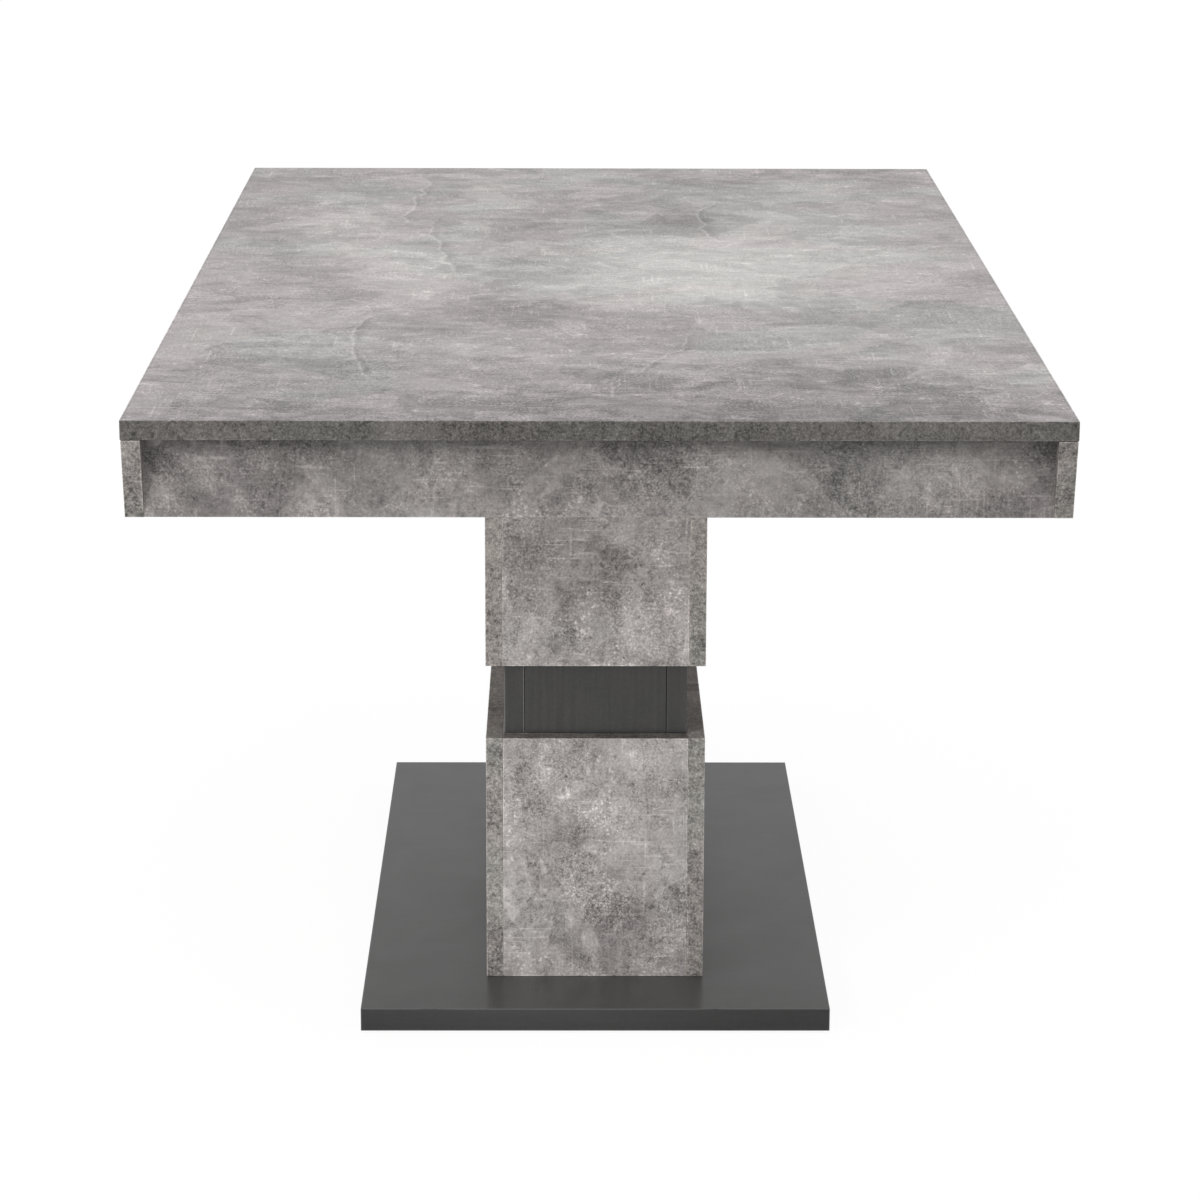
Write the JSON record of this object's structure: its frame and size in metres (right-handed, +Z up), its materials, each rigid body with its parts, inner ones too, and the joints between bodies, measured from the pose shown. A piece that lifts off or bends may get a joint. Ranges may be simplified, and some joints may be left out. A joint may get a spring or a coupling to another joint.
{
  "type": "extendable dining table",
  "caption": "Rectangular column table on a flat base plate, with an apron frame and a top whose geared halves slide apart to take an insert leaf stored inside.",
  "frame": {"origin": "centre of the table's footprint on the floor, under the middle of the column", "axes": "+Z up, +Y along the closed table towards the rear half of the top, +X across the table"},
  "size_m": [0.9, 1.6, 0.75],
  "materials": {
    "concrete_decor": "matt melamine-faced board with a trowelled concrete look",
    "concrete_edge": "matt edge band with a fine concrete look",
    "anthracite_decor": "matt melamine-faced board, plain anthracite",
    "chipboard": "raw chipboard, seen only from below or inside",
    "beech": "planed beech, unvarnished",
    "steel": "zinc-plated steel",
    "aluminium": "mill-finish extrusion",
    "nylon": "natural nylon",
    "black_plastic": "moulded black plastic",
    "rubber": "black rubber"
  },
  "bodies": {
    "base": {"base_plate": "anthracite_decor", "floor_glides": "black_plastic", "lower_block_left_board": "concrete_decor", "lower_block_right_board": "concrete_decor", "lower_block_front_board": "concrete_decor", "lower_block_rear_board": "concrete_decor", "lower_block_bottom_board": "chipboard", "lower_block_top_board": "concrete_decor", "core_left_board": "anthracite_decor", "core_right_board": "anthracite_decor", "core_front_panel": "anthracite_decor", "core_rear_panel": "anthracite_decor", "upper_block_left_board": "concrete_decor", "upper_block_right_board": "concrete_decor", "upper_block_front_board": "concrete_decor", "upper_block_rear_board": "concrete_decor", "upper_block_bottom_board": "concrete_decor", "upper_block_top_board": "chipboard", "tie_rods": "steel", "tie_rod_flange_nuts": "steel", "carrier_board": "chipboard", "side_apron_left": "concrete_decor", "side_apron_right": "concrete_decor", "end_panel_front": "concrete_decor", "end_panel_rear": "concrete_decor", "corner_blocks": "beech", "apron_glides": "nylon", "guide_rail_left": "aluminium", "guide_rail_right": "aluminium", "guide_rail_screws": "steel", "travel_stops": "rubber", "pinion_axles": "steel", "insert_leaf": "concrete_decor", "leaf_edge_bands": "concrete_edge", "leaf_dowels": "beech"},
    "top_front": {"top_front_board": "concrete_decor", "top_front_edge_bands": "concrete_edge", "top_dowels": "beech", "runner_front_left": "beech", "runner_front_right": "beech", "racks_front": "nylon", "runner_clips_front": "steel", "top_front_screws": "steel", "latch_plates": "steel", "latch_pivots": "steel"},
    "top_rear": {"top_rear_board": "concrete_decor", "top_rear_edge_bands": "concrete_edge", "runner_rear_left": "beech", "runner_rear_right": "beech", "racks_rear": "nylon", "runner_clips_rear": "steel", "top_rear_screws": "steel", "latch_keepers": "steel"},
    "pinion_left": {"pinion_left": "nylon"},
    "pinion_right": {"pinion_right": "nylon"},
    "latch_left": {"latch_lever_left": "steel", "latch_knob_left": "black_plastic"},
    "latch_right": {"latch_lever_right": "steel", "latch_knob_right": "black_plastic"}
  },
  "joints": [
    {"name": "front_slide", "type": "slide", "parent": "base", "child": "top_front", "axis": [0, -1, 0], "range_m": [0, 0.2]},
    {"name": "rear_slide", "type": "slide", "parent": "base", "child": "top_rear", "axis": [0, 1, 0], "range_m": [0, 0.2]},
    {"name": "pinion_left_turn", "type": "hinge", "parent": "base", "child": "pinion_left", "pos_m": [-0.3739, 0, 0.706], "axis": [0, 0, 1], "range_deg": [-720, 0]},
    {"name": "pinion_right_turn", "type": "hinge", "parent": "base", "child": "pinion_right", "pos_m": [0.3739, 0, 0.706], "axis": [0, 0, 1], "range_deg": [0, 720]},
    {"name": "latch_left_turn", "type": "hinge", "parent": "top_front", "child": "latch_left", "pos_m": [-0.25, -0.026, 0.725], "axis": [0, 0, -1], "range_deg": [0, 90]},
    {"name": "latch_right_turn", "type": "hinge", "parent": "top_front", "child": "latch_right", "pos_m": [0.25, -0.026, 0.725], "axis": [0, 0, 1], "range_deg": [0, 90]}
  ],
  "couplings": [
    {"joint": "rear_slide", "follows": "front_slide", "ratio": 1},
    {"joint": "pinion_left_turn", "follows": "front_slide", "rad_per_m": -62.5},
    {"joint": "pinion_right_turn", "follows": "front_slide", "rad_per_m": 62.5}
  ]
}
